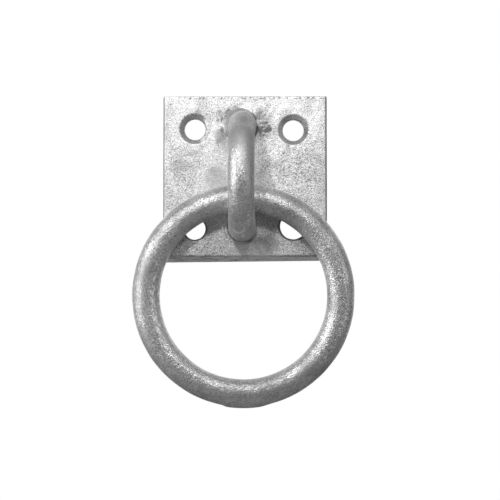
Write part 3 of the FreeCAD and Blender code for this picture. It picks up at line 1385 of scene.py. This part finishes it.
@dataclass
class Staple:
    """Round bar bent to a half circle, with two legs that go through the plate."""

    bar: float = 8.1
    x: float = -0.43
    middle_z: float = 0.6
    bend_radius: float = 15.4
    bend_y: float = -8.0
    plate_front: float = -4.0
    round_corners: int = 96
    bend_steps: int = 240
    leg_steps: int = 36
    apex_thinner: float = -0.14
    leg_thicker: float = 0.14
    foot_swell: float = 0.22
    foot_reach: float = 3.5
    foot_sunk: float = 0.5
    coat: tuple[Lumps, ...] = (Lumps(7.0, 0.16), Lumps(2.2, 0.05), Lumps(0.8, 0.03))
    coat_depth: Slope = Slope(0.6, -0.2)
    smooth_angle: float = 50.0
    drop: Mark = Mark(0.1, -17.9, 0.6)
    lower_marks: int = 9
    lower_mark_height: float = 0.24
    lower_mark_size: float = 0.45
    lower_mark_share: float = 0.7
    smile_left: float = -2.8
    smile_width: float = 3.4
    smile_top: float = -15.8
    smile_sag: float = 1.3
    stains_and_painted_light: StainsAndPaintedLight = (
        # Skin on the upper part, and painted shade that dims the highlight's upper part and its right half
        Patch(-0.4, 19.0, 6.5, 10.0, 0.45),
        Patch(-0.4, 11.0, 5.0, 3.6, 0.75),
        Patch(0.1, 7.0, 1.3, 5.0, 0.35),
        Patch(0.3, 16.9, 3.2, 3.2, 0.75),
        Patch(0.2, 16.6, 1.7, 1.6, 1.05),
        # Painted shade over the upper right of the highlight
        Patch(1.1, 11.8, 1.9, 3.5, 0.35),
        # Painted highlights: a bright curved line and a drop over the lumps under the lower foot, and glints
        # on the right
        Arc(-1.1, -15.3, 1.8, 0.4, 190.0, 350.0, -1.0),
        Patch(0.1, -17.9, 0.6, 0.5, -1.0),
        Specks(Patch(1.9, -13.0, 0.6, 2.6, -1.3), 0.5, -0.1),
        # Painted shade down the bar's right side
        Patch(2.4, 3.0, 1.6, 12.0, 0.4),
    )
    finish: Zinc = Zinc(
        "hot-dip zinc on the staple's round bar", "#D2D2D2", "#BCBCBC", "#6E6E6E", skin="#A4A4A4"
    )

    def build(self) -> Piece:
        """Makes the staple.

        Returns:
            The finished staple.
        """
        start = Vector((self.x, 0.0, self.middle_z + self.bend_radius))
        staple = place_disc("coated_staple", start, self.bar / 2, self.round_corners)
        with editing(staple):
            push_out(self.bend_y, self.leg_steps)
            bpy.ops.mesh.spin(
                steps=self.bend_steps,
                angle=math.pi,
                center=tuple(at_mm(self.x, self.bend_y, self.middle_z)),
                axis=(-1.0, 0.0, 0.0),
            )
            push_out(-self.bend_y, self.leg_steps)
        set_normals(staple)
        swell(staple, self.apex_thinner, self._apex_share)
        swell(staple, self.leg_thicker, lambda p: 1.0 - self._apex_share(p))
        swell(staple, self.foot_swell, self._foot_share)
        strike(staple, self.lower_mark_height, self._lower_smile(), self.bend_y)
        for lumps in self.coat:
            roughen(staple, lumps, self._outside_share)
        take(staple)
        bpy.ops.object.shade_smooth_by_angle(angle=math.radians(self.smooth_angle))
        paint(staple, lambda p: coat_state(p, self.stains_and_painted_light))
        hand_over(staple, "fixing", "staple", self.finish.material())
        return staple

    def _lower_smile(self) -> tuple[Mark, ...]:
        """A curved row of small lumps near the lower foot, with one drop under it.

        Returns:
            The marks.
        """
        marks = [self.drop]
        for number in range(self.lower_marks):
            along = number / (self.lower_marks - 1)
            x = self.smile_left + self.smile_width * along
            z = self.smile_top - self.smile_sag * math.sin(math.pi * along)
            marks.append(Mark(x, z, self.lower_mark_size, self.lower_mark_share))
        return tuple(marks)

    def _apex_share(self, place: Vector) -> float:
        """How near a place is to the bend's farthest point, where bending stretched the bar."""
        return fade(place.y, self.bend_y, self.bend_y - self.bend_radius)

    def _foot_share(self, place: Vector) -> float:
        """How near a place is to the plate's front, where the zinc runs out round the legs.

        Args:
            place: A place in millimetres.

        Returns:
            From 0 for far to 1 for near, and 0 inside the plate.
        """
        if place.y > self.plate_front + self.foot_sunk:
            return 0.0
        return fade(place.y, self.plate_front - self.foot_reach, self.plate_front)

    def _outside_share(self, place: Vector) -> float:
        """No lumps inside the plate, where the legs fill their holes."""
        return self.coat_depth.at(place.y, self.plate_front)


@dataclass
class UpperFootWeld:
    """Weld bead round the upper foot, run off to the left, with flat spatter on the right."""

    x: float = -1.2
    z: float = 16.5
    bar_x: float = -0.43
    bar_z: float = 16.0
    plate_front: float = -4.0
    radius: float = 5.2
    shoulder: tuple[Mark, ...] = (
        Mark(2.2, 18.8, 1.5, 2.1),
        Mark(1.0, 18.8, 1.6, 1.9),
        Mark(2.45, 17.4, 1.35, 2.2),
    )
    heights: tuple[float, ...] = (0.4, 0.8, 1.3, 2.0, 2.9)
    radii: tuple[float, ...] = (5.15, 4.95, 4.65, 4.35, 4.05)
    sunk: float = 0.4
    toe: Row = Row(5.05, 95.0, 205.0, 13, 0.18, 5.3)
    speck: float = 0.38
    speck_uneven: float = 0.45
    speck_pace: float = 2.1
    speck_height: float = 1.1
    spatter: tuple[Mark, ...] = (
        Mark(5.2, 17.3, 0.6, 0.6),
        Mark(6.6, 17.4, 0.5, 0.6),
        Mark(6.0, 13.5, 0.45, 0.6),
    )
    grid: float = 0.17
    smoothings: int = 4
    coat: tuple[Lumps, ...] = (Lumps(2.6, 0.3), Lumps(1.1, 0.14), Lumps(0.6, 0.07))
    stains_and_painted_light: StainsAndPaintedLight = (
        Patch(1.6, 17.2, 2.6, 3.6, 0.6),
        Patch(-3.6, 16.6, 3.6, 5.4, 0.75),
        # Painted highlight: a bright beaded line along the bead's toe on the left
        Arc(-1.2, 16.5, 4.95, 0.35, 90.0, 225.0, -0.8, 43.0),
    )
    finish: Zinc = Zinc(
        "hot-dip zinc over the weld", "#D4D4D4", "#B4B4B4", "#707070", skin="#A0A0A0", grain=0.45
    )

    def build(self) -> Piece:
        """Makes the weld bead with its spatter.

        Returns:
            The finished weld.
        """
        weld = self._bead()
        marks = self._toe() + self.shoulder + self.spatter
        lumps = [self._lump(mark, mark.reach * mark.share) for mark in marks]
        take(weld)
        for lump in lumps:
            lump.select_set(True)
        bpy.ops.object.join()
        remesh(weld, self.grid, self.smoothings)
        for lumps_of_coat in self.coat:
            roughen(weld, lumps_of_coat, self._coat_share)
        paint(weld, lambda p: coat_state(p, self.stains_and_painted_light))
        hand_over(weld, "fixing", "upper_foot_weld", self.finish.material())
        return weld

    def _coat_share(self, place: Vector) -> float:
        """No lumps behind the plate's front, or high up where the bead runs into the bar."""
        high = fade(place.y, self.plate_front - self.heights[-1], self.plate_front - self.heights[-2])
        return high * fade(place.y, self.plate_front + self.sunk, self.plate_front)

    def _toe(self) -> tuple[Mark, ...]:
        """Small lumps along the bead's edge on the left.

        Returns:
            The marks.
        """
        marks = []
        for number, x, z in self.toe.places(self.x, self.z):
            size = self.speck * (1.0 + self.speck_uneven * math.sin(self.speck_pace * number))
            marks.append(Mark(x, z, size, self.speck_height))
        return tuple(marks)

    def _bead(self) -> Piece:
        """The bead, a little sunk into the plate, which climbs the bar and ends inside it.

        Returns:
            The bead.
        """
        middle = Vector((self.x, 0.0, self.z))
        start = middle + Vector((0.0, self.plate_front + self.sunk, 0.0))
        bead = place_disc("coated_upper_foot_weld", start, self.radius)
        height, radius, centre = -self.sunk, self.radius, middle
        with editing(bead):
            for next_height, next_radius in zip(self.heights, self.radii):
                push_out(height - next_height)
                widen(next_radius / radius, centre)
                climbed = (self.radii[0] - next_radius) / (self.radii[0] - self.radii[-1])
                next_centre = middle.lerp(Vector((self.bar_x, 0.0, self.bar_z)), climbed)
                bpy.ops.transform.translate(value=tuple((next_centre - centre) * MM))
                height, radius, centre = next_height, next_radius, next_centre
        set_normals(bead)
        return bead

    def _lump(self, mark: Mark, height: float) -> Piece:
        """One rounded lump on the plate.

        Args:
            mark: Its place and radius.
            height: How far it stands out of the plate.

        Returns:
            The lump.
        """
        clear_selection()
        middle = at_mm(mark.x, self.plate_front, mark.z)
        bpy.ops.mesh.primitive_ico_sphere_add(subdivisions=3, radius=mark.reach * MM, location=middle)
        lump = settle("weld lump")
        with editing(lump):
            bpy.ops.transform.resize(value=(1.0, height / mark.reach, 1.0), center_override=tuple(middle))
            pick(lump, Part.VERTICES, lambda p: p.y > self.plate_front)
            bpy.ops.transform.resize(value=(1.0, self.sunk / height, 1.0), center_override=tuple(middle))
        return lump


@dataclass
class LowerFootWeld:
    """Weld of the lower foot, run into a sunk edge at the back of the plate and nearly flush."""

    x: float = -0.43
    z: float = -14.8
    leg_radius: float = 4.05
    leg: float = 1.4
    sunk: float = 0.22
    crest_share: float = 0.8
    corners: int = 96
    smooth_angle: float = 60.0
    coat: tuple[Lumps, ...] = (Lumps(1.3, 0.10), Lumps(0.6, 0.05))
    finish: Zinc = Zinc(
        "hot-dip zinc over the back weld",
        "#C6C6C6",
        "#A6A6A6",
        "#707070",
        smooth=0.4,
        coarse=0.55,
        grain=0.6,
    )

    def build(self) -> Piece:
        """Makes the ring-shaped bead.

        Returns:
            The finished weld.
        """
        clear_selection()
        middle = Vector((self.x, 0.0, self.z))
        outer = self.leg_radius + self.leg
        crest = self.leg_radius + self.leg / 2
        bpy.ops.mesh.primitive_circle_add(
            vertices=self.corners,
            radius=outer * MM,
            fill_type="NOTHING",
            location=(middle + Vector((0.0, -self.sunk, 0.0))) * MM,
            rotation=FACING_OUT,
        )
        weld = settle("coated_lower_foot_weld")
        with editing(weld):
            self._draw_in(self.sunk * self.crest_share, crest / outer, middle)
            self._draw_in(-self.sunk * self.crest_share, self.leg_radius / crest, middle)
            self._draw_in(-self.leg, 1.0, middle)
            bpy.ops.mesh.select_all(action="DESELECT")
            bpy.ops.mesh.select_non_manifold()
            bpy.ops.mesh.bridge_edge_loops()
            bpy.ops.mesh.select_all(action="SELECT")
            bpy.ops.mesh.subdivide(number_cuts=2)
        set_normals(weld)
        for lumps in self.coat:
            roughen(weld, lumps)
        take(weld)
        bpy.ops.object.shade_smooth_by_angle(angle=math.radians(self.smooth_angle))
        hand_over(weld, "fixing", "lower_foot_weld", self.finish.material())
        return weld

    def _draw_in(self, rise: float, scale: float, middle: Vector) -> None:
        """Extrudes the open edge towards the wall by a rise and scales it about the leg."""
        bpy.ops.mesh.extrude_region_move(TRANSFORM_OT_translate={"value": (0.0, rise * MM, 0.0)})
        widen(scale, middle)


@dataclass
class Ring:
    """Round bar bent to a circle and joined at its lowest point."""

    x: float = -0.07
    y: float = -8.45
    z: float = -35.55
    radius: float = 29.35
    bar: float = 8.3
    round_corners: int = 90
    steps: int = 960
    joint_out: float = 0.38
    joint_flat: float = 4.5
    joint_left: float = 6.6
    joint_right: float = 9.5
    joint_fading: float = 1.0
    coat: tuple[Lumps, ...] = (Lumps(8.0, 0.22), Lumps(2.6, 0.06), Lumps(0.8, 0.035))
    dent: float = 0.2
    dents: tuple[Mark, ...] = (
        Mark(-27.4, -29.0, 2.6, 0.5),
        Mark(-24.5, -46.0, 2.6, 0.5),
        Mark(-23.3, -50.5, 0.9),
        Mark(-29.5, -40.6, 0.8, 0.8),
    )
    drop: float = 0.2
    drops: tuple[Mark, ...] = (Mark(-0.6, -63.8, 0.7), Mark(5.5, -63.2, 0.7), Mark(12.7, -60.3, 0.8))
    ridge: Row = Row(27.8, 186.0, 250.0, 40, 0.25, 3.7)
    ridge_size: float = 0.6
    ridge_share: float = 0.5
    ridge_uneven: float = 0.3
    ridge_pace: float = 1.9
    stains_and_painted_light: StainsAndPaintedLight = (
        Patch(-27.8, -28.9, 1.3, 3.6, 0.45),
        # Painted shade that dims the highlight on the outer left stretch
        Arc(-0.07, -35.55, 30.9, 2.3, 150.0, 232.0, 0.5),
        # Dark specks that give the lowest stretch its grain and, as painted shade, dim its highlight
        Specks(Patch(0.0, -63.8, 17.0, 3.6, 1.2), 0.45, 0.1),
        # Painted glints on the left stretch
        Specks(Patch(-26.0, -42.0, 5.5, 15.0, -0.8), 0.45, 0.1),
        Patch(19.0, -57.5, 4.5, 2.2, 0.45, 45.0),
        Patch(11.9, -62.0, 2.0, 1.0, 0.4, 35.0),
        # Painted highlight along the broken ridge of lumps on the lower left stretch
        Arc(-0.07, -35.55, 27.75, 0.6, 184.0, 262.0, -0.5, 131.0),
    )
    finish: Zinc = Zinc(
        "hot-dip zinc on the ring's round bar", "#D2D2D2", "#BCBCBC", "#6E6E6E", skin="#9A9A9A"
    )

    def build(self) -> Piece:
        """Makes the ring.

        Returns:
            The finished ring.
        """
        clear_selection()
        bpy.ops.mesh.primitive_torus_add(
            major_segments=self.steps,
            minor_segments=self.round_corners,
            major_radius=self.radius * MM,
            minor_radius=self.bar / 2 * MM,
            location=at_mm(self.x, self.y, self.z),
            rotation=FACING_OUT,
        )
        ring = settle("coated_ring")
        swell(ring, -self.joint_out, self._joint_share, direction="Z")
        strike(ring, -self.dent, self.dents, self.y)
        strike(ring, self.drop, self.drops + self._ridge(), self.y)
        for lumps in self.coat:
            roughen(ring, lumps)
        take(ring)
        bpy.ops.object.shade_smooth()
        paint(ring, lambda p: coat_state(p, self.stains_and_painted_light) if p.y < self.y else 0.0)
        hand_over(ring, "ring", "ring", self.finish.material())
        return ring

    def _ridge(self) -> tuple[Mark, ...]:
        """Small lumps in a broken line along the lower left stretch.

        Returns:
            The marks.
        """
        marks = []
        for number, x, z in self.ridge.places(self.x, self.z):
            share = self.ridge_share + self.ridge_uneven * math.sin(self.ridge_pace * number)
            marks.append(Mark(x, z, self.ridge_size, share))
        return tuple(marks)

    def _joint_share(self, place: Vector) -> float:
        """How far the joint stands out, on the outer side of the lowest stretch.

        Args:
            place: A place in millimetres.

        Returns:
            Share of the joint's height.
        """
        aside = place.x - self.x
        along = fade(abs(aside), self.joint_left if aside < 0 else self.joint_right, self.joint_flat)
        low = self.z - self.radius
        return along * fade(place.z, low + self.joint_fading, low - self.bar / 2)


def main() -> None:
    """Builds the studio and every piece, and reports each."""
    logging.basicConfig(level=logging.INFO, format="%(message)s")
    Studio().build()
    for assembly in (Plate(), Staple(), UpperFootWeld(), LowerFootWeld(), Ring()):
        piece = assembly.build()
        LOG.info("built %s", piece.name)


if __name__ == "__main__":
    main()
